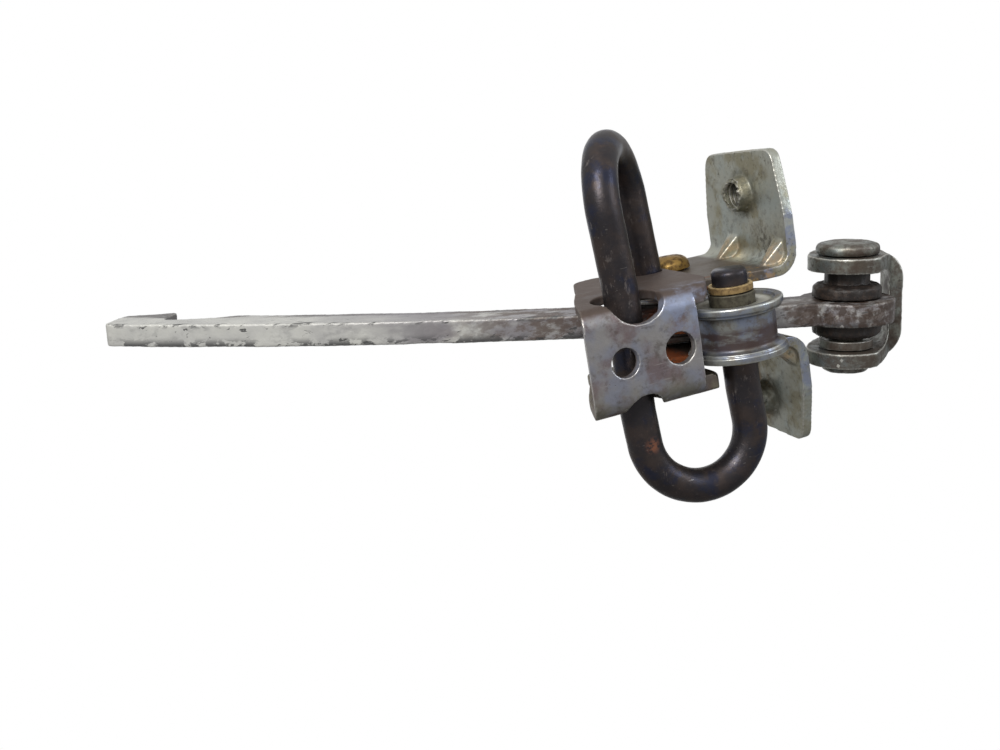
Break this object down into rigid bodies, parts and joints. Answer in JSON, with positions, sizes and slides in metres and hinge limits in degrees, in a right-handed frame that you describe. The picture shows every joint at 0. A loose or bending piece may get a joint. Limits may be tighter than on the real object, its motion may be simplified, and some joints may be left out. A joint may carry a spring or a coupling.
{
  "type": "door check",
  "caption": "Car door check: curved arm sliding between two flanged rollers, one pressed by a bent torsion rod, with door brackets and a pillar clevis.",
  "frame": {"origin": "on the outer faces of the two door tabs, midway between their screw holes", "axes": "+X out of the door face towards the pillar, +Z along the roller axles, +Y away from the web of the channel"},
  "size_m": [0.1863, 0.0891, 0.0867],
  "materials": {
    "zinc_plate": "worn zinc plating with rust specks",
    "yellowed_zinc": "zinc plating with yellow passivation and brown grease",
    "black_spring_steel": "black oxide with brown bloom",
    "roller_zinc": "zinc, rubbed bright on the rims, greasy in the groove",
    "dark_bush": "dull steel",
    "tan_washer": "dull yellow passivation",
    "rivet_brass_tint": "yellow passivation",
    "worn_grey_paint": "thin grey coat, chipped to dark steel",
    "clevis_zinc": "dull zinc under brown grease",
    "greasy_black": "greasy black plastic"
  },
  "bodies": {
    "housing": {"front_channel": "zinc_plate", "upper_bracket": "yellowed_zinc", "lower_bracket": "yellowed_zinc", "torsion_rod": "black_spring_steel", "rear_axle_rivet": "rivet_brass_tint", "rear_upper_washer": "roller_zinc", "rear_lower_washer": "roller_zinc"},
    "spring_arm": {"front_roller_bush": "dark_bush", "front_retaining_washer": "tan_washer", "front_lower_washer": "tan_washer"},
    "front_roller": {"front_roller": "roller_zinc"},
    "rear_roller": {"rear_roller": "roller_zinc"},
    "swing_bush": {"rear_roller_bush": "dark_bush"},
    "arm": {"check_arm": "worn_grey_paint"},
    "clevis": {"clevis_bracket": "clevis_zinc", "pivot_pin": "clevis_zinc", "upper_bushing": "greasy_black", "lower_bushing": "greasy_black", "lower_spacer": "clevis_zinc"}
  },
  "joints": [
    {"name": "spring_flex", "type": "hinge", "parent": "housing", "child": "spring_arm", "pos_m": [-0.0483, -0.0215, 0], "axis": [0, 0, -1], "range_deg": [0, 4.5], "stiffness_Nm_per_rad": 40, "deforming": ["torsion_rod"]},
    {"name": "arm_swing", "type": "hinge", "parent": "housing", "child": "swing_bush", "pos_m": [-0.0205, 0.00812, 0], "axis": [0, 0, 1], "range_deg": [0, 13]},
    {"name": "arm_slide", "type": "hinge", "parent": "swing_bush", "child": "arm", "pos_m": [0.09818, 0.43648, 0], "axis": [0.126, -0.034, 0.9914], "range_deg": [0, 14.5]},
    {"name": "front_roller_spin", "type": "hinge", "parent": "spring_arm", "child": "front_roller", "pos_m": [-0.0223, -0.0235, 0], "axis": [0, 0, 1], "continuous": true},
    {"name": "rear_roller_spin", "type": "hinge", "parent": "housing", "child": "rear_roller", "pos_m": [-0.0205, 0.00812, 0], "axis": [0, 0, 1], "continuous": true},
    {"name": "clevis_pivot", "type": "hinge", "parent": "arm", "child": "clevis", "pos_m": [0.0128, -0.0155, -0.00463], "axis": [0.126, -0.034, 0.9914], "range_deg": [-75, 60]}
  ],
  "couplings": [
    {"joint": "front_roller_spin", "follows": "arm_slide", "ratio": -50.65},
    {"joint": "rear_roller_spin", "follows": "arm_slide", "ratio": 49.35}
  ]
}
